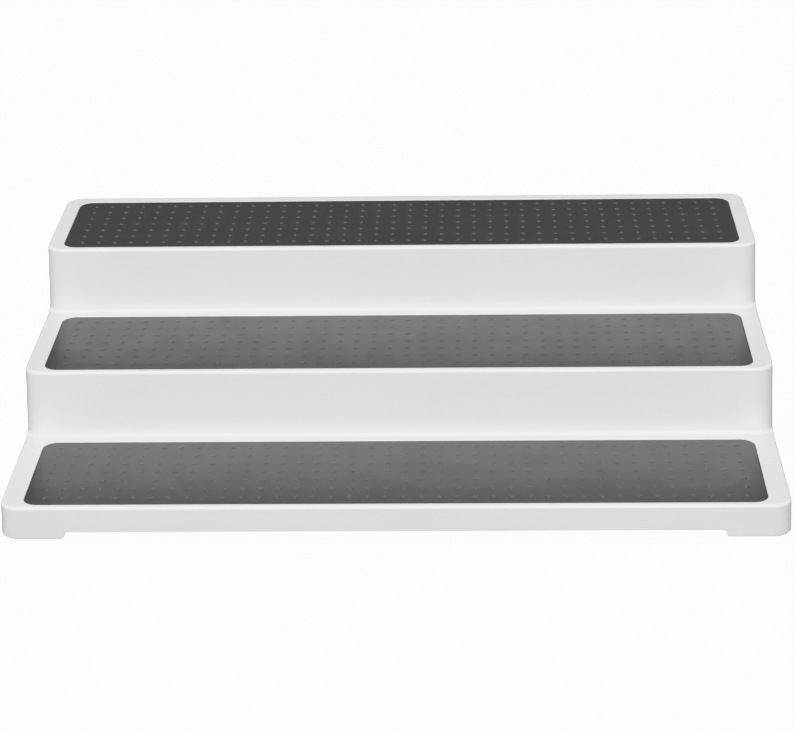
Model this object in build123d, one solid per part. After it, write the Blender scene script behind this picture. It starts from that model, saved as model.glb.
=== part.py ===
from build123d import *
import math
import os

# Three-tier shelf riser: one moulded plastic body of three steps, a soft mat with raised
# dots let into each tread, and four push-in foot pads under the corners.
#
# Millimetres. +Z is up, +X is to the right, and the low front step faces -Y.
# The origin is the centre of the footprint, on the surface that the foot pads stand on.

# Overall sizes
overall_width = 381.0        # left to right, across the foot of the walls
overall_depth = 247.65       # front to back, across the foot of the walls
overall_height = 88.9        # floor to the tops of the dots on the highest mat
base_height = 17.6           # floor to the rim of the lowest tread
tier_names = ("bottom", "middle", "top")

# Body moulding
wall = 2.2                   # walls, risers and treads
draft_deg = 2.0              # every upright face leans in by this, going up
corner_radius = 9.5          # upright corners in plan
rim_radius = 1.5             # rounded outer edge of each tread
cove_radius = 2.0            # hollow round where a riser meets the tread in front of it
recess_lip_radius = 0.3      # rounded edge of the recess that holds a mat

# Mats and the rims around them
mat_thickness = 1.6          # without the dots
mat_drop = 0.1               # the mat's face lies this far below the rim
mat_clearance = 0.15         # all round, between a mat and its recess
mat_corner_radius = 7.0
mat_edge_radius = 0.4
side_rim = 8.8               # tread edge to mat, left and right, on the top tread
front_rim = 3.4              # tread edge to mat, at the front
riser_gap = 6.0              # mat to the riser behind it
rear_rim = 9.0               # mat to the rear edge, on the top tread
dot_pitch_across = 8.68      # left to right
dot_pitch_deep = 9.3         # front to back
dot_diameter = 2.9
dot_height = 0.4
dot_side_margin = 9.0        # least distance from the outer dots to the mat's ends
dot_front_margin = 6.0       # least distance from the outer dots to the mat's long edges

# Corner feet: the walls reach down at the corners and are cut short between them
foot_length = 32.0           # along each wall, from the corner
foot_relief = 3.8            # height of the cut between two feet, above the foot of the walls
foot_end_radius = 1.6        # hollow round at the top of a foot's end
foot_tip_radius = 2.0        # rounded lower corner of a foot's end
foot_edge_radius = 1.0       # rounded outer edge along the bottom of a foot

# Foot pads and the hollow bosses that hold them
pad_proud = 0.6              # the pad stands this far below the foot of the walls
pad_disc = 2.0               # thickness of the pad's disc
pad_edge = 0.4               # bevel round the disc's lower edge
pad_stem = 6.0               # length of the stem above the disc
pad_clearance = 0.1          # round the stem, in its bore
boss_radius = 8.0
boss_bore_radius = 5.5
boss_inset = 20.0            # boss centre to the outside of each wall
boss_roof = 1.6              # solid left between the bore and the tread

# Stiffening ribs inside
rib = 1.6                    # thickness
rib_depth = 8.0              # how far a rib stands out from a wall or a tread
rib_corner_radius = 4.0      # upright corners of the space left inside the ribs
long_rib_count = 5           # ribs that run front to back

# Worked out from the sizes above
tier_count = len(tier_names)
slope = math.tan(math.radians(draft_deg))
top_rim_height = overall_height - dot_height + mat_drop
step_height = (top_rim_height - base_height) / (tier_count - 1)
half_width = overall_width / 2
half_depth = overall_depth / 2
recess_depth = mat_thickness + mat_drop
pan_top = recess_depth + wall


def rim_height(tier):
    """Height of a tread's rim above the floor."""
    return base_height + tier * step_height


def lean(height):
    """How far an upright face has leaned in at a height above the foot of the walls."""
    return slope * (height - pad_proud)


front_edge_low = -half_depth + lean(base_height)
rear_edge_top = half_depth - lean(top_rim_height)
mat_width = overall_width - 2 * lean(top_rim_height) - 2 * side_rim
riser_run = riser_gap + slope * step_height
rims = tier_count * front_rim + (tier_count - 1) * riser_run + rear_rim
mat_depth = (rear_edge_top - front_edge_low - rims) / tier_count
tread_run = front_rim + mat_depth + riser_run
dot_columns = int((mat_width - 2 * dot_side_margin) / dot_pitch_across) + 1
dot_rows = int((mat_depth - 2 * dot_front_margin) / dot_pitch_deep) + 1


def front_edge(tier):
    """Y of a tier's front face, at the height of its own rim."""
    return front_edge_low + tier * tread_run


def mat_centre(tier):
    """Y of the centre of a tier's mat."""
    return front_edge(tier) + front_rim + mat_depth / 2


def drafted_block(tier, inset, low, high, radius):
    """Tapered block with a tier's plan, drawn in by inset, between two heights.

    The block runs from the tier's front face to the back of the body, and its
    four upright corners are rounded to radius. A negative inset makes it larger.
    """
    front_foot = front_edge(tier) - lean(rim_height(tier))
    shift = inset + lean(low)
    width = overall_width - 2 * shift
    depth = half_depth - front_foot - 2 * shift
    plan = Pos(0, (half_depth + front_foot) / 2, low) * Rectangle(width, depth)
    block = extrude(plan, high - low, taper=draft_deg)
    uprights = block.edges().filter_by(lambda edge: edge.bounding_box().size.Z > (high - low) / 2)
    return fillet(uprights, radius)


def tier_block(tier):
    """Solid of one tier, down to the foot of the walls, with its rim rounded."""
    block = drafted_block(tier, 0.0, pad_proud, rim_height(tier), corner_radius)
    rim = block.faces().sort_by(Axis.Z)[-1].edges()
    return fillet(rim, rim_radius)


def riser_cove(tier):
    """Hollow round along the foot of a tier's riser, cut to the tread in front."""
    tread = rim_height(tier - 1)
    low = tread - rim_radius
    high = tread + cove_radius
    around = corner_radius + cove_radius
    skirt = drafted_block(tier, -cove_radius, low, high, around)
    front_foot = front_edge(tier) - lean(rim_height(tier))
    out = cove_radius - lean(high)
    path = Pos(0, (half_depth + front_foot) / 2, high) * RectangleRounded(
        overall_width + 2 * out, half_depth - front_foot + 2 * out, around
    )
    path = path.wire()
    section = Plane(origin=path.position_at(0), z_dir=path.tangent_at(0)) * Circle(cove_radius)
    envelope = drafted_block(0, 0.0, low, high, corner_radius)
    return (skirt - sweep(section, path)) & envelope


def outer_form():
    """The body before it is hollowed out."""
    form = tier_block(0)
    for tier in range(1, tier_count):
        form += tier_block(tier)
        form += riser_cove(tier)
    underside = form.faces().sort_by(Axis.Z)[0]
    return fillet(underside.outer_wire().edges(), foot_edge_radius)


def boss_centres():
    """Plan position of the four bosses, by the name of the corner."""
    x = half_width - boss_inset
    y = half_depth - boss_inset
    return {
        "front_left": (-x, -y),
        "front_right": (x, -y),
        "rear_left": (-x, y),
        "rear_right": (x, y),
    }


def inner_space(extra, radius):
    """Space inside the walls and under the treads, drawn in by extra."""
    inset = wall + extra
    drop = pan_top + extra
    space = drafted_block(0, inset, pad_proud, rim_height(0) - drop, radius)
    for tier in range(1, tier_count):
        space += drafted_block(tier, inset, pad_proud, rim_height(tier) - drop, radius)
    return space


def rib_slabs():
    """Plates that leave the ribs standing where they cross the inner space."""
    slabs = []
    pitch = (overall_width - 2 * boss_inset) / (long_rib_count + 1)
    for index in range(long_rib_count):
        x = -half_width + boss_inset + (index + 1) * pitch
        slabs.append(Pos(x, 0, half_depth) * Box(rib, overall_depth, overall_depth))
    return slabs


def boss_plates():
    """Bosses with the two webs that tie each one to the walls beside it."""
    plates = []
    for x, y in boss_centres().values():
        x_wall = math.copysign(half_width, x)
        y_wall = math.copysign(half_depth, y)
        low = pad_disc
        high = overall_height
        tall = high - low
        post = Pos(x, y, low) * Cylinder(boss_radius, tall, align=(Align.CENTER, Align.CENTER, Align.MIN))
        across = Pos((x + x_wall) / 2, y, low + foot_relief + tall / 2)
        along = Pos(x, (y + y_wall) / 2, low + foot_relief + tall / 2)
        plates.append(post)
        plates.append(across * Box(boss_inset, rib, tall))
        plates.append(along * Box(rib, boss_inset, tall))
    return plates


def hollow():
    """What is taken out of the body from below."""
    space = inner_space(0.0, corner_radius - wall) - rib_slabs()
    space += inner_space(rib_depth, rib_corner_radius)
    return space - boss_plates()


def foot_gap(clear, through, across):
    """Cut under two opposite walls, between their feet, with the ends of the feet rounded."""
    tall = foot_relief + pad_proud
    profile = Pos(0, tall / 2) * Rectangle(clear, tall)
    profile = fillet(profile.vertices().group_by(Axis.Y)[-1], foot_end_radius)
    for side in (-1, 1):
        edge = side * clear / 2
        out = side * foot_tip_radius
        tip = Pos(edge + out / 2, pad_proud + foot_tip_radius / 2) * Rectangle(
            foot_tip_radius, foot_tip_radius
        )
        profile += tip - Pos(edge + out, pad_proud + foot_tip_radius) * Circle(foot_tip_radius)
    return extrude(across * profile, through / 2, both=True)


def foot_gaps():
    """Cuts under all four walls, between the corner feet."""
    return [
        foot_gap(overall_width - 2 * foot_length, overall_depth + wall, Plane.XZ),
        foot_gap(overall_depth - 2 * foot_length, overall_width + wall, Plane.YZ),
    ]


def mat_recess(tier):
    """Recess that a mat lies in."""
    floor = rim_height(tier) - recess_depth
    width = mat_width + 2 * mat_clearance
    depth = mat_depth + 2 * mat_clearance
    plan = RectangleRounded(width, depth, mat_corner_radius + mat_clearance)
    return extrude(Pos(0, mat_centre(tier), floor) * plan, recess_depth + cove_radius)


def pad_bore(x, y):
    """Blind bore for a foot pad's stem."""
    tier = 0 if y < 0 else tier_count - 1
    roof = rim_height(tier) - pan_top - boss_roof
    bore = Cylinder(boss_bore_radius, roof, align=(Align.CENTER, Align.CENTER, Align.MIN))
    return Pos(x, y, 0) * bore


def shelf_body():
    """The moulded body."""
    body = outer_form() - hollow()
    body -= [mat_recess(tier) for tier in range(tier_count)]
    body -= foot_gaps()
    body -= [pad_bore(x, y) for x, y in boss_centres().values()]
    return round_recess_lips(body)


def round_recess_lips(body):
    """Rounds the upper edge of each mat recess."""
    reach_x = mat_width / 2 + 2 * mat_clearance
    reach_y = mat_depth / 2 + 2 * mat_clearance
    for tier in range(tier_count):
        level = rim_height(tier)
        middle = mat_centre(tier)
        lip = [
            edge
            for edge in body.edges()
            if abs(edge.center().Z - level) < mat_clearance
            and edge.bounding_box().size.Z < mat_clearance
            and abs(edge.center().X) < reach_x
            and abs(edge.center().Y - middle) < reach_y
        ]
        body = fillet(lip, recess_lip_radius)
    return body


def mat(tier):
    """Soft mat with its grid of raised dots."""
    base = rim_height(tier) - recess_depth
    plan = RectangleRounded(mat_width, mat_depth, mat_corner_radius)
    plate = extrude(Pos(0, mat_centre(tier), base) * plan, mat_thickness)
    plate = fillet(plate.faces().sort_by(Axis.Z)[-1].edges(), mat_edge_radius)
    dot_radius = dot_diameter / 2
    ball = (dot_radius**2 + dot_height**2) / (2 * dot_height)
    sunk = Box(4 * ball, 4 * ball, 4 * ball, align=(Align.CENTER, Align.CENTER, Align.MAX))
    cap = Pos(0, 0, dot_height - ball) * Sphere(ball) - Pos(0, 0, -mat_thickness / 4) * sunk
    grid = GridLocations(dot_pitch_across, dot_pitch_deep, dot_columns, dot_rows)
    face = Pos(0, mat_centre(tier), base + mat_thickness)
    return plate + [face * place * cap for place in grid]


def foot_pad(x, y):
    """Push-in rubber pad: a disc to stand on and a stem for the bore."""
    up = (Align.CENTER, Align.CENTER, Align.MIN)
    disc = Cylinder(boss_radius, pad_disc, align=up)
    disc = chamfer(disc.faces().sort_by(Axis.Z)[0].edges(), pad_edge)
    stem = Cylinder(boss_bore_radius - pad_clearance, pad_disc + pad_stem, align=up)
    return Pos(x, y, 0) * (disc + stem)


def write_step(name, shape):
    solids = shape.solids()
    print(f"{name}: {len(solids)} solid(s), {sum(s.volume for s in solids):.0f} mm3")
    export_step(shape, f"parts/{name}.step")


os.makedirs("parts", exist_ok=True)
write_step("shelf_body", shelf_body())
for index, name in enumerate(tier_names):
    write_step(f"mat_{name}", mat(index))
for corner, (x, y) in boss_centres().items():
    write_step(f"foot_pad_{corner}", foot_pad(x, y))
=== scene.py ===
import math

import bpy
from bpy.props import FloatProperty, FloatVectorProperty, IntProperty, PointerProperty
from bpy.types import Operator, Panel, PropertyGroup
from mathutils import Matrix, Vector
from mathutils.geometry import tessellate_polygon


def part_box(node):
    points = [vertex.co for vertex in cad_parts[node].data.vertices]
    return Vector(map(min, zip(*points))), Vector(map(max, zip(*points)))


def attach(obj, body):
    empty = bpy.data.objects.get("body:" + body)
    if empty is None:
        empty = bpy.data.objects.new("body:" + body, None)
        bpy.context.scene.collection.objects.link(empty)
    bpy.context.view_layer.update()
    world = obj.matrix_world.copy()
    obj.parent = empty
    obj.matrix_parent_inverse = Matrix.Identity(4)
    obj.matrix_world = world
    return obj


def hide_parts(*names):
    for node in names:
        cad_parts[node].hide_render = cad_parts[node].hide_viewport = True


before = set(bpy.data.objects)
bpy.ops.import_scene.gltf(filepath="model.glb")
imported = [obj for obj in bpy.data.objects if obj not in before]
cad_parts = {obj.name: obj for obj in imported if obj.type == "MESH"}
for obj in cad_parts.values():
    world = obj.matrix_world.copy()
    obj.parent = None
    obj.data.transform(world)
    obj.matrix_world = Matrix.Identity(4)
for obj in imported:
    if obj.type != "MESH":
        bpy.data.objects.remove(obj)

bl_info = {
    "name": "Tiered shelf riser",
    "version": (1, 0, 0),
    "blender": (4, 5, 0),
    "location": "3D View > Sidebar > Shelf riser",
    "description": "Makes a three-step shelf riser with soft dotted mats, and a plain stage for it",
    "category": "Add Mesh",
}

BODY_NODE = "shelf_body"
MAT_NODES = ("mat_bottom", "mat_middle", "mat_top")
FOOT_NODES = ("foot_pad_front_left", "foot_pad_front_right", "foot_pad_rear_left", "foot_pad_rear_right")

CELL_SIDE_STEPS = 6          # mesh steps along each side of the square round a dot
CORNER_STEPS = 14            # mesh steps round each corner of a mat
EDGE_STEPS = 4               # mesh steps over a rounded edge
FOOT_STEPS = 72              # mesh steps round a foot pad
SHARP_ANGLE = math.radians(38)
SHADING_WEIGHT = 60          # how far large faces lead the shading of an edge

# Shares of the dot's dome, from its middle out, and of the hollow round at its foot
DOME_RINGS = (0.0, 0.33, 0.62, 0.85)
FOOT_RINGS = (0.0, 0.28, 0.58, 1.0)
DOME_OVERLAP = 0.44          # share of the hollow round that lies inside the dot's width

# Rings in a foot pad's sole: where each groove starts and ends, as shares of its radius
SOLE_GROOVES = ((0.50, 0.56), (0.70, 0.76))
SOLE_DISH = ((0.0, 1.4), (0.18, 1.3), (0.30, 0.7), (0.36, 0.0))    # shares of radius and groove depth
GROOVE_SLOPE = 0.6           # run of a groove's side for its depth

# Markings in each material: sizes in metres, and how strong some of them are
TONE_SIZE = 0.07             # slow drift of the plastic's tone
SHEEN_SIZE = 0.03            # slow drift of its sheen
SHEEN_RANGE = 0.02           # and how far its roughness goes either way
SCUFF_SIZE = 0.006
SCUFF_HEIGHTS = (0.0006, 0.0016)    # scuffs fade out between these heights above the floor
RUB_SIZE = 0.0011
RUB_STRETCH = (0.03, 1.0, 1.0)      # rubs run from left to right
RUB_PATCH_SIZE = 0.03
RIPPLE_SIZE = 0.004
MOTTLE_SIZE = 0.018
SPECKLE_SIZE = 0.0016
# Size of the patches over which the painted dot highlight is stronger or weaker
DOT_HIGHLIGHT_SIZE = 0.01
DOT_DULLNESS = 0.22          # added to the roughness on a dot
LINT_SIZE = 0.0022
MAT_SHEEN_SIZE = 0.022
MAT_WAVE_SIZE = 0.03
SOLE_HEIGHTS = (0.0, 0.0007)        # wear of a foot pad fades out between these heights
SOLE_WEAR_SIZE = 0.0018
PAD_TONE_SIZE = 0.005
PAD_WAVE_SIZE = 0.003
FLOOR_TONE_SIZE = 0.35
FLOOR_GRAIN_SIZE = 0.0015
FLOOR_GRAIN_DEPTH = 0.00001

PLASTIC_IOR = 1.50
MAT_IOR = 1.85
FOOT_IOR = 1.52
FLOOR_IOR = 1.4

# Lights and camera
MIDDLE = (0.0, 0.0, 0.04)    # where the lights point
KEY_SHAPE = 0.6              # height of the front light for its width
OVERHEAD_SHIFT = -0.1        # the light above hangs this far from the middle, front to back
OVERHEAD_LEAN = -0.0001      # and its aim lies this much further on, which settles its heading
FILL_WIDTH = 1.6             # the low lights at the sides and behind
FILL_TALL = 0.9
FILL_DISTANCE = 2.1
FILL_HEIGHT = 0.6
FILL_SHIFT = 0.2             # the side lights stand this far behind the middle
SENSOR_WIDTH = 36.0

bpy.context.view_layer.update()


# Sizes and colours

class RiserPlastic(PropertyGroup):
    """The white moulded plastic of the body."""

    colour: FloatVectorProperty(
        name="Colour", description="Main colour of the moulding", subtype="COLOR",
        default=(0.771, 0.770, 0.770), min=0.0, max=1.0,
    )
    shade: FloatVectorProperty(
        name="Shade", description="Second tone that drifts through the moulding", subtype="COLOR",
        default=(0.758, 0.757, 0.757), min=0.0, max=1.0,
    )
    scuff: FloatVectorProperty(
        name="Scuffs", description="Colour of the rubbed foot of the walls", subtype="COLOR",
        default=(0.62, 0.61, 0.60), min=0.0, max=1.0,
    )
    roughness: FloatProperty(
        name="Roughness", description="Satin finish of the moulding", subtype="FACTOR",
        default=0.36, min=0.0, max=1.0,
    )
    grain_size: FloatProperty(
        name="Grain size", description="Spacing of the fine grain left by the mould", unit="LENGTH",
        default=0.0007, min=0.0001, max=0.01, precision=5,
    )
    grain_depth: FloatProperty(
        name="Grain depth", description="Height of the fine grain", unit="LENGTH",
        default=0.000006, min=0.0, max=0.0005, precision=6,
    )
    wave_size: FloatProperty(
        name="Wave size", description="Spacing of the slow waviness of the wide walls", unit="LENGTH",
        default=0.055, min=0.005, max=0.5,
    )
    wave_depth: FloatProperty(
        name="Wave depth", description="Height of the slow waviness", unit="LENGTH",
        default=0.00006, min=0.0, max=0.001, precision=6,
    )


class RiserMat(PropertyGroup):
    """The soft mat on each tread, with its grid of raised dots."""

    colour: FloatVectorProperty(
        name="Colour", description="Main colour of the mats", subtype="COLOR",
        default=(0.0800, 0.0778, 0.0740), min=0.0, max=1.0,
    )
    # Painted highlight: the paler colour laid on the dot tops where light catches them; it is also the paler
    # tone of the mat's mottle
    mottle_and_dot_highlight: FloatVectorProperty(
        name="Dot colour", description="Colour of the rubbed tops of the dots", subtype="COLOR",
        default=(0.126, 0.124, 0.120), min=0.0, max=1.0,
    )
    lint: FloatVectorProperty(
        name="Lint", description="Colour of the fine dust that clings to the mats", subtype="COLOR",
        default=(0.21, 0.205, 0.20), min=0.0, max=1.0,
    )
    roughness: FloatProperty(
        name="Roughness", description="Soft sheen of the mats", subtype="FACTOR",
        default=0.34, min=0.0, max=1.0,
    )
    grain_size: FloatProperty(
        name="Grain size", description="Spacing of the fine grain", unit="LENGTH",
        default=0.0008, min=0.0001, max=0.01, precision=5,
    )
    grain_depth: FloatProperty(
        name="Grain depth", description="Height of the fine grain", unit="LENGTH",
        default=0.00002, min=0.0, max=0.0005, precision=6,
    )
    corner_radius: FloatProperty(
        name="Corner radius", description="Corners of a mat, in plan", unit="LENGTH",
        default=0.007, min=0.001, max=0.03, precision=4,
    )
    edge_radius: FloatProperty(
        name="Edge radius", description="Rounded upper edge of a mat", unit="LENGTH",
        default=0.0004, min=0.0001, max=0.001, precision=4,
    )
    dot_pitch_across: FloatProperty(
        name="Dot pitch across", description="Distance between dots from left to right", unit="LENGTH",
        default=0.00868, min=0.004, max=0.03, precision=5,
    )
    dot_pitch_deep: FloatProperty(
        name="Dot pitch deep", description="Distance between dots from front to back", unit="LENGTH",
        default=0.0093, min=0.004, max=0.03, precision=5,
    )
    dot_diameter: FloatProperty(
        name="Dot diameter", description="Width of a dot where it meets the mat", unit="LENGTH",
        default=0.0029, min=0.001, max=0.006, precision=4,
    )
    dot_height: FloatProperty(
        name="Dot height", description="Height of a dot above the mat", unit="LENGTH",
        default=0.0004, min=0.0001, max=0.002, precision=4,
    )
    dot_blend: FloatProperty(
        name="Dot blend", description="Width of the hollow round at the foot of a dot", unit="LENGTH",
        default=0.00032, min=0.00005, max=0.001, precision=5,
    )
    dot_columns: IntProperty(name="Dots across", description="Dots from left to right", default=40, min=1)
    dot_rows: IntProperty(name="Dots deep", description="Dots from front to back", default=7, min=1)


class RiserFoot(PropertyGroup):
    """The push-in pad under each corner."""

    colour: FloatVectorProperty(
        name="Colour", description="Main colour of the foot pads", subtype="COLOR",
        default=(0.12, 0.12, 0.12), min=0.0, max=1.0,
    )
    wear: FloatVectorProperty(
        name="Wear", description="Colour of the scuffed sole", subtype="COLOR",
        default=(0.19, 0.185, 0.18), min=0.0, max=1.0,
    )
    roughness: FloatProperty(
        name="Roughness", description="Dull finish of the foot pads", subtype="FACTOR",
        default=0.62, min=0.0, max=1.0,
    )
    grain_size: FloatProperty(
        name="Grain size", description="Spacing of the fine grain", unit="LENGTH",
        default=0.0004, min=0.0001, max=0.01, precision=5,
    )
    grain_depth: FloatProperty(
        name="Grain depth", description="Height of the fine grain", unit="LENGTH",
        default=0.00002, min=0.0, max=0.0005, precision=6,
    )
    disc_thickness: FloatProperty(
        name="Disc thickness", description="Thickness of the disc below the stem", unit="LENGTH",
        default=0.002, min=0.001, max=0.01, precision=4,
    )
    stem_diameter: FloatProperty(
        name="Stem diameter", description="Width of the stem that fills the bore", unit="LENGTH",
        default=0.0108, min=0.004, max=0.02, precision=4,
    )
    edge_radius: FloatProperty(
        name="Edge radius", description="Rounded lower edge of the disc", unit="LENGTH",
        default=0.0005, min=0.0001, max=0.001, precision=4,
    )
    groove_depth: FloatProperty(
        name="Groove depth", description="Depth of the rings moulded in the sole", unit="LENGTH",
        default=0.0003, min=0.0, max=0.001, precision=4,
    )


class RiserStage(PropertyGroup):
    """Floor, lights and camera."""

    floor_size: FloatProperty(
        name="Floor size", description="Length and width of the floor", unit="LENGTH",
        default=16.0, min=1.0,
    )
    floor_colour: FloatVectorProperty(
        name="Floor colour", description="Colour of the floor", subtype="COLOR",
        default=(0.93, 0.93, 0.93), min=0.0, max=1.0,
    )
    floor_bounce: FloatProperty(
        name="Floor bounce", description="Light that the floor throws up onto the object",
        default=0.24, min=0.0, max=1.0,
    )
    floor_glow: FloatProperty(
        name="Floor glow", description="Light that the floor shows from below, added to what falls on it",
        default=2.6, min=0.0, max=5.0,
    )
    surround: FloatVectorProperty(
        name="Surround", description="Colour of the dim room round the stage", subtype="COLOR",
        default=(0.10, 0.10, 0.105), min=0.0, max=1.0,
    )
    overhead_size: FloatProperty(
        name="Overhead size", description="Width of the soft light above", unit="LENGTH",
        default=3.2, min=0.1,
    )
    overhead_height: FloatProperty(
        name="Overhead height", description="Height of the soft light above", unit="LENGTH",
        default=2.5, min=0.5,
    )
    overhead_power: FloatProperty(
        name="Overhead power", description="Power of the soft light above", unit="POWER",
        default=39.0, min=0.0,
    )
    key_size: FloatProperty(
        name="Key size", description="Width of the soft light in front", unit="LENGTH",
        default=2.6, min=0.1,
    )
    key_distance: FloatProperty(
        name="Key distance", description="Object to the soft light in front", unit="LENGTH",
        default=2.7, min=0.5,
    )
    key_height: FloatProperty(
        name="Key angle", description="Angle of the soft light in front above the floor", subtype="ANGLE",
        default=math.radians(30.0),
    )
    key_power: FloatProperty(
        name="Key power", description="Power of the soft light in front", unit="POWER",
        default=72.0, min=0.0,
    )
    left_power: FloatProperty(
        name="Left power", description="Power of the soft light on the left", unit="POWER",
        default=14.0, min=0.0,
    )
    right_power: FloatProperty(
        name="Right power", description="Power of the soft light on the right", unit="POWER",
        default=10.0, min=0.0,
    )
    back_power: FloatProperty(
        name="Back power", description="Power of the soft light behind", unit="POWER",
        default=18.0, min=0.0,
    )
    lens: FloatProperty(
        name="Focal length", description="Focal length of the camera", unit="CAMERA",
        default=109.69, min=10.0,
    )
    camera_distance: FloatProperty(
        name="Camera distance", description="Camera to the point that it looks at", unit="LENGTH",
        default=1.25746, min=0.1, precision=4,
    )
    camera_turn: FloatProperty(
        name="Camera turn", description="Camera's heading, left or right of straight ahead", subtype="ANGLE",
        default=math.radians(1.976),
    )
    camera_tilt: FloatProperty(
        name="Camera tilt", description="How far down the camera looks", subtype="ANGLE",
        default=math.radians(23.458),
    )
    camera_roll: FloatProperty(
        name="Camera roll", description="Turn about the line of sight", subtype="ANGLE",
        default=math.radians(-1.113),
    )
    camera_aim: FloatVectorProperty(
        name="Camera aim", description="Point that the camera looks at", subtype="XYZ", unit="LENGTH",
        default=(-0.00137, 0.0, 0.03677),
    )


# Materials

class Finish:
    """A material and the node tree that makes it."""

    def __init__(self, name, colour, roughness, index_of_refraction):
        self.material = bpy.data.materials.new(name)
        self.material.use_nodes = True
        self.material.diffuse_color = (*colour, 1.0)
        self.tree = self.material.node_tree
        self.tree.nodes.clear()
        output = self.tree.nodes.new("ShaderNodeOutputMaterial")
        self.shader = self.tree.nodes.new("ShaderNodeBsdfPrincipled")
        self.tree.links.new(self.shader.outputs["BSDF"], output.inputs["Surface"])
        self.shader.inputs["Base Color"].default_value = (*colour, 1.0)
        self.shader.inputs["Roughness"].default_value = roughness
        self.shader.inputs["IOR"].default_value = index_of_refraction
        self.place = self.tree.nodes.new("ShaderNodeTexCoord").outputs["Object"]

    def wire(self, value, socket):
        """Links an output to an input, or sets the input to a number or colour."""
        if isinstance(value, bpy.types.NodeSocket):
            self.tree.links.new(value, socket)
        elif hasattr(value, "__len__"):
            socket.default_value = (*value, 1.0)[:len(socket.default_value)]
        else:
            socket.default_value = value

    def stretched(self, scale):
        """Object position with each axis scaled on its own."""
        mapping = self.tree.nodes.new("ShaderNodeMapping")
        self.wire(self.place, mapping.inputs["Vector"])
        mapping.inputs["Scale"].default_value = scale
        return mapping.outputs["Vector"]

    def noise(self, size, detail=2.0, place=None):
        """Soft noise whose features are about this size, in metres."""
        noise = self.tree.nodes.new("ShaderNodeTexNoise")
        self.wire(place or self.place, noise.inputs["Vector"])
        noise.inputs["Scale"].default_value = 1.0 / size
        noise.inputs["Detail"].default_value = detail
        return noise.outputs["Fac"]

    def cells(self, size):
        """Distance to the nearest of many scattered points, about this far apart."""
        cells = self.tree.nodes.new("ShaderNodeTexVoronoi")
        cells.feature = "SMOOTH_F1"
        self.wire(self.place, cells.inputs["Vector"])
        cells.inputs["Scale"].default_value = 1.0 / size
        return cells.outputs["Distance"]

    def ramp(self, value, start, end, low=0.0, high=1.0):
        """Moves a value from the range start to end into the range low to high."""
        ramp = self.tree.nodes.new("ShaderNodeMapRange")
        ramp.interpolation_type = "SMOOTHSTEP"
        self.wire(value, ramp.inputs["Value"])
        ramp.inputs["From Min"].default_value = start
        ramp.inputs["From Max"].default_value = end
        ramp.inputs["To Min"].default_value = low
        ramp.inputs["To Max"].default_value = high
        return ramp.outputs["Result"]

    def math(self, operation, first, second):
        """One sum on two values."""
        sum_node = self.tree.nodes.new("ShaderNodeMath")
        sum_node.operation = operation
        self.wire(first, sum_node.inputs[0])
        self.wire(second, sum_node.inputs[1])
        return sum_node.outputs["Value"]

    def blend(self, share, first, second):
        """Colour between two others."""
        mix = self.tree.nodes.new("ShaderNodeMix")
        mix.data_type = "RGBA"
        self.wire(share, mix.inputs["Factor"])
        self.wire(first, mix.inputs[6])
        self.wire(second, mix.inputs[7])
        return mix.outputs[2]

    def bump(self, height, depth, under=None):
        """Surface normal moved by a height from 0 to 1, this deep in metres."""
        bump = self.tree.nodes.new("ShaderNodeBump")
        bump.inputs["Distance"].default_value = depth
        self.wire(height, bump.inputs["Height"])
        if under:
            self.wire(under, bump.inputs["Normal"])
        return bump.outputs["Normal"]

    def height(self):
        """Height above the floor."""
        split = self.tree.nodes.new("ShaderNodeSeparateXYZ")
        self.wire(self.place, split.inputs["Vector"])
        return split.outputs["Z"]

    def outward(self):
        """How sharply the surface turns outward: over a half on an edge."""
        return self.tree.nodes.new("ShaderNodeNewGeometry").outputs["Pointiness"]

    def stored(self, name):
        """A number stored on the mesh."""
        attribute = self.tree.nodes.new("ShaderNodeAttribute")
        attribute.attribute_name = name
        return attribute.outputs["Fac"]

    def set(self, socket, value):
        """Wires a value into the shader."""
        self.wire(value, self.shader.inputs[socket])


def moulded_plastic(plastic):
    """White satin moulding: fine grain, slow waves, faint rubs and scuffed feet."""
    finish = Finish("moulded_plastic", plastic.colour, plastic.roughness, PLASTIC_IOR)
    tone = finish.ramp(finish.noise(TONE_SIZE, detail=1.0), 0.25, 0.75)
    colour = finish.blend(tone, plastic.colour, plastic.shade)
    patches = finish.ramp(finish.noise(SCUFF_SIZE, detail=5.0), 0.50, 0.72)
    low = finish.ramp(finish.height(), *SCUFF_HEIGHTS, 1.0, 0.0)
    scuffed = finish.math("MULTIPLY", finish.math("MULTIPLY", patches, low), 0.35)
    finish.set("Base Color", finish.blend(scuffed, colour, plastic.scuff))

    rub_lines = finish.noise(RUB_SIZE, detail=4.0, place=finish.stretched(RUB_STRETCH))
    rubs = finish.ramp(rub_lines, 0.60, 0.74)
    rub_places = finish.ramp(finish.noise(RUB_PATCH_SIZE, detail=2.0), 0.52, 0.66)
    rubbed = finish.math("MULTIPLY", rubs, rub_places)
    edges = finish.ramp(finish.outward(), 0.51, 0.58)
    drift = finish.ramp(finish.noise(SHEEN_SIZE, detail=1.0), 0.2, 0.8, -SHEEN_RANGE, SHEEN_RANGE)
    sheen = finish.math("ADD", drift, plastic.roughness)
    sheen = finish.math("ADD", sheen, finish.math("MULTIPLY", rubbed, 0.04))
    sheen = finish.math("SUBTRACT", sheen, finish.math("MULTIPLY", edges, 0.02))
    finish.set("Roughness", finish.math("ADD", sheen, finish.math("MULTIPLY", scuffed, 0.3)))

    waves = finish.bump(finish.noise(plastic.wave_size, detail=1.0), plastic.wave_depth)
    ripple = finish.bump(finish.noise(RIPPLE_SIZE, detail=2.0), plastic.grain_depth * 2.0, waves)
    grain = finish.bump(finish.noise(plastic.grain_size, detail=3.0), plastic.grain_depth, ripple)
    finish.set("Normal", grain)
    return finish.material


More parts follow.
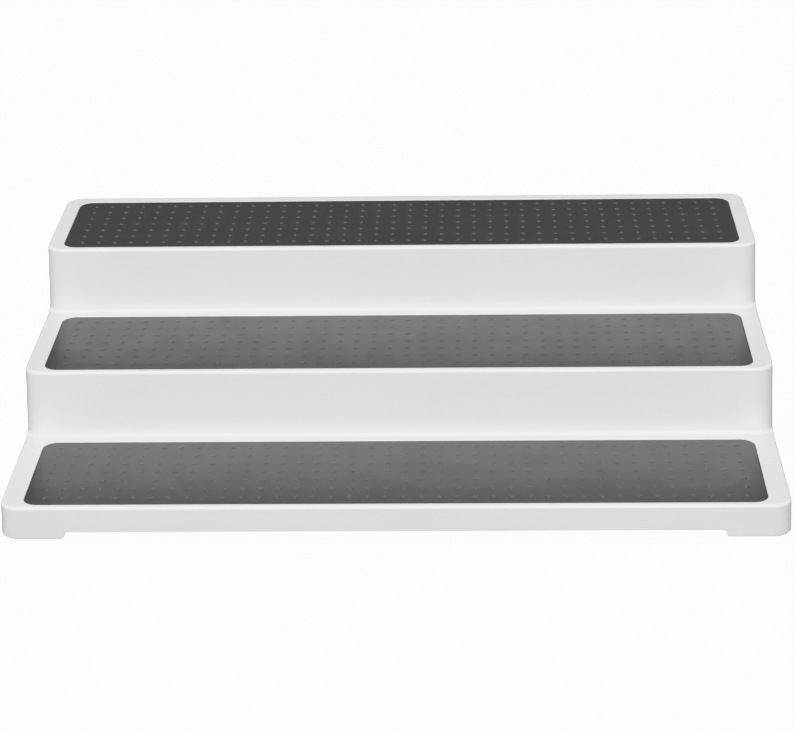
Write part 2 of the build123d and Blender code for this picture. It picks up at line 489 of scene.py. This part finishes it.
def soft_mat_rubber(mat):
    """Warm dark grey rubber: pebbled grain, a painted highlight that makes the dot tops paler, and a little
    lint.
    """
    finish = Finish("soft_mat_rubber", mat.colour, mat.roughness, MAT_IOR)
    mottle = finish.ramp(finish.noise(MOTTLE_SIZE, detail=4.0), 0.3, 0.7, -0.05, 0.05)
    speckle = finish.ramp(finish.noise(SPECKLE_SIZE, detail=3.0), 0.3, 0.7, -0.05, 0.05)
    tone = finish.math("ADD", finish.math("ADD", mottle, speckle), 0.10)
    colour = finish.blend(tone, mat.colour, mat.mottle_and_dot_highlight)
    dots = finish.stored("dot")
    # Painted highlight on the dots: wear and rubbed here only spread the paler colour over the dot tops,
    # unevenly from dot to dot
    wear = finish.ramp(finish.noise(DOT_HIGHLIGHT_SIZE, detail=2.0), 0.3, 0.7, 0.7, 1.0)
    rubbed = finish.math("MULTIPLY", dots, wear)
    colour = finish.blend(rubbed, colour, mat.mottle_and_dot_highlight)
    lint = finish.ramp(finish.noise(LINT_SIZE, detail=4.0), 0.705, 0.76)
    finish.set("Base Color", finish.blend(finish.math("MULTIPLY", lint, 0.5), colour, mat.lint))

    patches = finish.ramp(finish.noise(MAT_SHEEN_SIZE, detail=3.0), 0.3, 0.7, -0.03, 0.05)
    patches = finish.math("ADD", patches, mat.roughness)
    sheen = finish.math("ADD", patches, finish.math("MULTIPLY", dots, DOT_DULLNESS))
    finish.set("Roughness", finish.math("ADD", sheen, finish.math("MULTIPLY", lint, 0.2)))

    waves = finish.bump(finish.noise(MAT_WAVE_SIZE, detail=2.0), mat.grain_depth * 4.0)
    pebbles = finish.bump(finish.cells(mat.grain_size), mat.grain_depth, waves)
    fine = finish.noise(mat.grain_size * 0.4)
    finish.set("Normal", finish.bump(fine, mat.grain_depth * 0.35, pebbles))
    return finish.material


def foot_rubber(foot):
    """Plain grey rubber with a fine grain and a scuffed sole."""
    finish = Finish("foot_rubber", foot.colour, foot.roughness, FOOT_IOR)
    low = finish.ramp(finish.height(), *SOLE_HEIGHTS, 1.0, 0.0)
    patches = finish.ramp(finish.noise(SOLE_WEAR_SIZE, detail=4.0), 0.4, 0.65)
    worn = finish.math("MULTIPLY", low, patches)
    tone = finish.ramp(finish.noise(PAD_TONE_SIZE, detail=3.0), 0.3, 0.7, 0.0, 0.25)
    colour = finish.blend(tone, foot.colour, foot.wear)
    finish.set("Base Color", finish.blend(worn, colour, foot.wear))
    finish.set("Roughness", finish.ramp(worn, 0.0, 1.0, foot.roughness, foot.roughness + 0.15))
    grain = finish.bump(finish.noise(foot.grain_size, detail=3.0), foot.grain_depth)
    finish.set("Normal", finish.bump(finish.noise(PAD_WAVE_SIZE), foot.grain_depth * 2.0, grain))
    return finish.material


def floor_sheet(stage):
    """Plain pale sheet: bright in view, a faint even glow to the object, clear from underneath."""
    finish = Finish("floor_sheet", stage.floor_colour, 0.9, FLOOR_IOR)
    tree = finish.tree
    finish.shader.inputs["Specular IOR Level"].default_value = 0.0
    finish.shader.inputs["Emission Color"].default_value = (*stage.floor_colour, 1.0)
    finish.shader.inputs["Emission Strength"].default_value = stage.floor_glow
    tone = finish.ramp(finish.noise(FLOOR_TONE_SIZE), 0.3, 0.7)
    colour = finish.blend(tone, stage.floor_colour, [0.99 * part for part in stage.floor_colour])
    finish.set("Base Color", colour)
    finish.set("Normal", finish.bump(finish.noise(FLOOR_GRAIN_SIZE, detail=3.0), FLOOR_GRAIN_DEPTH))
    faint = tree.nodes.new("ShaderNodeEmission")
    faint.inputs["Color"].default_value = (*stage.floor_colour, 1.0)
    faint.inputs["Strength"].default_value = stage.floor_bounce
    either = tree.nodes.new("ShaderNodeMixShader")
    finish.wire(tree.nodes.new("ShaderNodeLightPath").outputs["Is Camera Ray"], either.inputs["Fac"])
    finish.wire(faint.outputs["Emission"], either.inputs[1])
    finish.wire(finish.shader.outputs["BSDF"], either.inputs[2])
    sheet = tree.nodes.new("ShaderNodeMixShader")
    finish.wire(tree.nodes.new("ShaderNodeNewGeometry").outputs["Backfacing"], sheet.inputs["Fac"])
    finish.wire(either.outputs["Shader"], sheet.inputs[1])
    finish.wire(tree.nodes.new("ShaderNodeBsdfTransparent").outputs["BSDF"], sheet.inputs[2])
    output = next(node for node in tree.nodes if node.type == "OUTPUT_MATERIAL")
    finish.wire(sheet.outputs["Shader"], output.inputs["Surface"])
    return finish.material


# Shapes

def rounded_outline(half_x, half_y, radius, inset):
    """Points round a rectangle with rounded corners, drawn in by inset, anticlockwise."""
    points = []
    reach = radius - inset
    for quarter, (side_x, side_y) in enumerate(((1, 1), (-1, 1), (-1, -1), (1, -1))):
        centre_x = side_x * (half_x - radius)
        centre_y = side_y * (half_y - radius)
        for step in range(CORNER_STEPS + 1):
            angle = (quarter + step / CORNER_STEPS) * math.pi / 2
            points.append((centre_x + reach * math.cos(angle), centre_y + reach * math.sin(angle)))
    return points


def dot_profile(mat):
    """Rings of a dot from its top outward, each a radius and a height above the mat."""
    radius = mat.dot_diameter / 2
    rise = mat.dot_height
    ball = (radius**2 + rise**2) / (2 * rise)
    join = radius - DOME_OVERLAP * mat.dot_blend
    join_height = math.sqrt(ball**2 - join**2) - (ball - rise)
    rings = []
    for share in DOME_RINGS:
        ring = share * join
        rings.append((ring, math.sqrt(ball**2 - ring**2) - (ball - rise)))
    for share in FOOT_RINGS:
        rings.append((join + share * mat.dot_blend, join_height * (1 - share) ** 2))
    return rings


def cell_edge(step):
    """Point of a dot's square cell, in cell steps from its centre, for a step round it."""
    half = CELL_SIDE_STEPS // 2
    side, along = divmod(step + half, CELL_SIDE_STEPS)
    across = along - half
    return ((half, across), (-across, half), (-half, -across), (across, -half))[side % 4]


class MatMesh:
    """Mesh of one mat, built face by face in the mat's own plane."""

    def __init__(self, low, high, mat):
        self.points = []
        self.faces = []
        self.dot_share = []
        self.mat = mat
        self.centre = (low + high) / 2
        self.half = (high - low) / 2
        self.face_z = high.z - mat.dot_height
        self.base_z = low.z
        self.shared = {}

    def point(self, x, y, z, share=0.0):
        self.points.append((self.centre.x + x, self.centre.y + y, z))
        self.dot_share.append(share)
        return len(self.points) - 1

    def strip(self, inner, outer):
        """Quads between two closed loops that have the same number of points."""
        count = len(inner)
        for index in range(count):
            following = (index + 1) % count
            self.faces.append((inner[index], outer[index], outer[following], inner[following]))

    def loop_at(self, inset, z):
        outline = rounded_outline(self.half.x, self.half.y, self.mat.corner_radius, inset)
        return [self.point(x, y, z) for x, y in outline]

    def lattice(self, column, row):
        """Shared point between cells, counted in cell steps from the grid's lower left."""
        key = (column, row)
        if key not in self.shared:
            x = (column / CELL_SIDE_STEPS - self.mat.dot_columns / 2) * self.mat.dot_pitch_across
            y = (row / CELL_SIDE_STEPS - self.mat.dot_rows / 2) * self.mat.dot_pitch_deep
            self.shared[key] = self.point(x, y, self.face_z)
        return self.shared[key]

    def dot(self, column, row, rings):
        """One dot and the flat square round it."""
        steps = 4 * CELL_SIDE_STEPS
        middle_x = column * CELL_SIDE_STEPS + CELL_SIDE_STEPS // 2
        middle_y = row * CELL_SIDE_STEPS + CELL_SIDE_STEPS // 2
        x = (column - (self.mat.dot_columns - 1) / 2) * self.mat.dot_pitch_across
        y = (row - (self.mat.dot_rows - 1) / 2) * self.mat.dot_pitch_deep
        top = self.point(x, y, self.face_z + rings[0][1], 1.0)
        inner = None
        for radius, rise in rings[1:]:
            share = rise / rings[0][1]
            loop = []
            for step in range(steps):
                angle = 2 * math.pi * step / steps
                out_x = radius * math.cos(angle)
                out_y = radius * math.sin(angle)
                loop.append(self.point(x + out_x, y + out_y, self.face_z + rise, share))
            if inner is None:
                for step in range(steps):
                    self.faces.append((top, loop[step], loop[(step + 1) % steps]))
            else:
                self.strip(inner, loop)
            inner = loop
        corners = [cell_edge(step) for step in range(steps)]
        self.strip(inner, [self.lattice(middle_x + dx, middle_y + dy) for dx, dy in corners])

    def margin(self, outline):
        """Flat face between the grid of cells and the mat's rounded edge."""
        wide = self.mat.dot_columns * CELL_SIDE_STEPS
        deep = self.mat.dot_rows * CELL_SIDE_STEPS
        ring = [(column, 0) for column in range(wide)] + [(wide, row) for row in range(deep)]
        ring += [(wide - column, deep) for column in range(wide)]
        ring += [(0, deep - row) for row in range(deep)]
        inner = [self.lattice(*key) for key in ring]
        loops = [outline, inner]
        numbers = outline + inner
        flat = [[Vector((self.points[n][0], self.points[n][1], 0.0)) for n in loop] for loop in loops]
        for triangle in tessellate_polygon(flat):
            first, second, third = (numbers[corner] for corner in triangle)
            a, b, c = (Vector(self.points[n]) for n in (first, second, third))
            upward = (b - a).cross(c - a).z > 0
            self.faces.append((first, second, third) if upward else (first, third, second))

    def build(self, name):
        rings = dot_profile(self.mat)
        for column in range(self.mat.dot_columns):
            for row in range(self.mat.dot_rows):
                self.dot(column, row, rings)
        radius = self.mat.edge_radius
        loop = self.loop_at(radius, self.face_z)
        self.margin(loop)
        for step in range(1, EDGE_STEPS + 1):
            angle = step / EDGE_STEPS * math.pi / 2
            drop = radius * (1 - math.cos(angle))
            outer = self.loop_at(radius * (1 - math.sin(angle)), self.face_z - drop)
            self.strip(loop, outer)
            loop = outer
        base = self.loop_at(0.0, self.base_z)
        self.strip(loop, base)
        self.faces.append(tuple(reversed(base)))
        made = mesh_piece(name, self.points, self.faces)
        attribute = made.data.attributes.new("dot", "FLOAT", "POINT")
        attribute.data.foreach_set("value", self.dot_share)
        return made


def foot_profile(foot, outer_radius, tall):
    """Outline of a foot pad from the middle of its sole to the top of its stem."""
    groove = foot.groove_depth
    edge = foot.edge_radius
    slope = groove * GROOVE_SLOPE
    profile = [(outer_radius * out, groove * deep) for out, deep in SOLE_DISH]
    for start, end in SOLE_GROOVES:
        profile += [
            (outer_radius * start, 0.0),
            (outer_radius * start + slope, groove),
            (outer_radius * end, groove),
            (outer_radius * end + slope, 0.0),
        ]
    for step in range(EDGE_STEPS + 1):
        angle = step / EDGE_STEPS * math.pi / 2
        profile.append((outer_radius - edge * (1 - math.sin(angle)), edge * (1 - math.cos(angle))))
    stem = foot.stem_diameter / 2
    profile += [
        (outer_radius, foot.disc_thickness),
        (stem, foot.disc_thickness),
        (stem, tall - edge),
        (stem - edge, tall),
        (0.0, tall),
    ]
    return profile


def turned_piece(name, centre, profile):
    """Piece turned about an upright axis from an outline of radii and heights."""
    points = []
    loops = []
    for radius, z in profile:
        if radius == 0.0:
            points.append((centre.x, centre.y, centre.z + z))
            loops.append([len(points) - 1])
            continue
        loop = []
        for step in range(FOOT_STEPS):
            angle = 2 * math.pi * step / FOOT_STEPS
            out_x = radius * math.cos(angle)
            out_y = radius * math.sin(angle)
            points.append((centre.x + out_x, centre.y + out_y, centre.z + z))
            loop.append(len(points) - 1)
        loops.append(loop)
    faces = []
    for inner, outer in zip(loops, loops[1:]):
        for step in range(FOOT_STEPS):
            following = (step + 1) % FOOT_STEPS
            if len(inner) == 1:
                faces.append((inner[0], outer[following], outer[step]))
            elif len(outer) == 1:
                faces.append((inner[step], inner[following], outer[0]))
            else:
                faces.append((inner[step], inner[following], outer[following], outer[step]))
    return mesh_piece(name, points, faces)


def mesh_piece(name, points, faces):
    """Object made of these points and faces, smooth except at its sharp edges."""
    mesh = bpy.data.meshes.new(name)
    mesh.from_pydata(points, [], faces)
    mesh.validate()
    mesh.shade_smooth()
    mesh.set_sharp_from_angle(angle=SHARP_ANGLE)
    made = bpy.data.objects.new(name, mesh)
    bpy.context.scene.collection.objects.link(made)
    weighted = made.modifiers.new("even_shading", "WEIGHTED_NORMAL")
    weighted.keep_sharp = True
    weighted.weight = SHADING_WEIGHT
    return made


def soft_light(name, size_x, size_y, power, place, aim, mirrored=True):
    """Wide area light at a place, turned to face a point, and mirrored in glossy surfaces or not."""
    data = bpy.data.lights.new(name, "AREA")
    data.shape = "RECTANGLE"
    data.size = size_x
    data.size_y = size_y
    data.energy = power
    light = bpy.data.objects.new(name, data)
    bpy.context.scene.collection.objects.link(light)
    light.location = place
    light.visible_camera = False
    light.visible_glossy = mirrored
    light.rotation_euler = (Vector(aim) - Vector(place)).to_track_quat("-Z", "Y").to_euler()
    return light


# Operators

class RISER_OT_finish_body(Operator):
    """Gives the moulded body its white satin plastic"""

    bl_idname = "riser.finish_body"
    bl_label = "Finish the body"

    def execute(self, context):
        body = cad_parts[BODY_NODE]
        plastic = moulded_plastic(context.scene.riser_plastic)
        body.data.materials.clear()
        body.data.materials.append(plastic)
        return {"FINISHED"}


class RISER_OT_make_mats(Operator):
    """Makes the three soft mats with their raised dots"""

    bl_idname = "riser.make_mats"
    bl_label = "Make the mats"

    def execute(self, context):
        mat = context.scene.riser_mat
        rubber = soft_mat_rubber(mat)
        for node in MAT_NODES:
            low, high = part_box(node)
            made = MatMesh(low, high, mat).build(f"dotted_{node}")
            made.data.materials.append(rubber)
            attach(made, "root")
            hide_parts(node)
        return {"FINISHED"}


class RISER_OT_make_feet(Operator):
    """Makes the four push-in foot pads"""

    bl_idname = "riser.make_feet"
    bl_label = "Make the foot pads"

    def execute(self, context):
        foot = context.scene.riser_foot
        rubber = foot_rubber(foot)
        for node in FOOT_NODES:
            low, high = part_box(node)
            centre = Vector(((low.x + high.x) / 2, (low.y + high.y) / 2, low.z))
            profile = foot_profile(foot, (high.x - low.x) / 2, high.z - low.z)
            made = turned_piece(f"ringed_{node}", centre, profile)
            made.data.materials.append(rubber)
            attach(made, "root")
            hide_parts(node)
        return {"FINISHED"}


class RISER_OT_make_stage(Operator):
    """Makes the floor, the lights and the camera"""

    bl_idname = "riser.make_stage"
    bl_label = "Make the stage"

    def execute(self, context):
        scene = context.scene
        stage = scene.riser_stage
        half = stage.floor_size / 2
        mesh = bpy.data.meshes.new("floor")
        corners = [(-half, -half, 0), (half, -half, 0), (half, half, 0), (-half, half, 0)]
        mesh.from_pydata(corners, [], [(0, 1, 2, 3)])
        floor = bpy.data.objects.new("floor", mesh)
        scene.collection.objects.link(floor)
        floor.data.materials.append(floor_sheet(stage))

        world = bpy.data.worlds.new("surround")
        world.use_nodes = True
        world.node_tree.nodes["Background"].inputs["Color"].default_value = (*stage.surround, 1.0)
        scene.world = world

        soft_light(
            "overhead_light", stage.overhead_size, stage.overhead_size, stage.overhead_power,
            (0.0, OVERHEAD_SHIFT, stage.overhead_height), (0.0, OVERHEAD_SHIFT + OVERHEAD_LEAN, 0.0),
        )
        key_place = (
            0.0,
            -stage.key_distance * math.cos(stage.key_height),
            stage.key_distance * math.sin(stage.key_height),
        )
        soft_light(
            "key_light", stage.key_size, KEY_SHAPE * stage.key_size, stage.key_power, key_place, MIDDLE,
        )
        fills = (
            ("left_light", stage.left_power, (-FILL_DISTANCE, FILL_SHIFT, FILL_HEIGHT)),
            ("right_light", stage.right_power, (FILL_DISTANCE, FILL_SHIFT, FILL_HEIGHT)),
            ("back_light", stage.back_power, (0.0, FILL_DISTANCE, FILL_HEIGHT)),
        )
        for name, power, place in fills:
            soft_light(name, FILL_WIDTH, FILL_TALL, power, place, MIDDLE, mirrored=False)

        camera = bpy.data.objects.new("camera", bpy.data.cameras.new("camera"))
        scene.collection.objects.link(camera)
        camera.data.lens = stage.lens
        camera.data.sensor_width = SENSOR_WIDTH
        sight = Vector((
            -math.sin(stage.camera_turn) * math.cos(stage.camera_tilt),
            math.cos(stage.camera_turn) * math.cos(stage.camera_tilt),
            -math.sin(stage.camera_tilt),
        ))
        turn = sight.to_track_quat("-Z", "Y").to_matrix() @ Matrix.Rotation(stage.camera_roll, 3, "Z")
        camera.matrix_world = turn.to_4x4()
        camera.location = Vector(stage.camera_aim) - stage.camera_distance * sight
        scene.camera = camera
        scene.view_settings.view_transform = "Khronos PBR Neutral"
        return {"FINISHED"}


class RISER_PT_parts(Panel):
    """Lists the pieces of the shelf riser"""

    bl_label = "Shelf riser"
    bl_space_type = "VIEW_3D"
    bl_region_type = "UI"
    bl_category = "Shelf riser"

    def draw(self, context):
        for maker, group in MAKERS:
            box = self.layout.box()
            box.operator(maker.bl_idname)
            settings = getattr(context.scene, group)
            for name in settings.bl_rna.properties.keys():
                if name not in ("rna_type", "name"):
                    box.prop(settings, name)


MAKERS = (
    (RISER_OT_finish_body, "riser_plastic"),
    (RISER_OT_make_mats, "riser_mat"),
    (RISER_OT_make_feet, "riser_foot"),
    (RISER_OT_make_stage, "riser_stage"),
)
GROUPS = {
    "riser_plastic": RiserPlastic,
    "riser_mat": RiserMat,
    "riser_foot": RiserFoot,
    "riser_stage": RiserStage,
}
CLASSES = (*GROUPS.values(), *(maker for maker, _ in MAKERS), RISER_PT_parts)


def register():
    for item in CLASSES:
        bpy.utils.register_class(item)
    for name, group in GROUPS.items():
        setattr(bpy.types.Scene, name, PointerProperty(type=group))


def unregister():
    for name in GROUPS:
        delattr(bpy.types.Scene, name)
    for item in reversed(CLASSES):
        bpy.utils.unregister_class(item)


def main():
    """Makes every piece and the stage."""
    register()
    bpy.ops.riser.finish_body()
    bpy.ops.riser.make_mats()
    bpy.ops.riser.make_feet()
    bpy.ops.riser.make_stage()


if __name__ == "__main__":
    main()
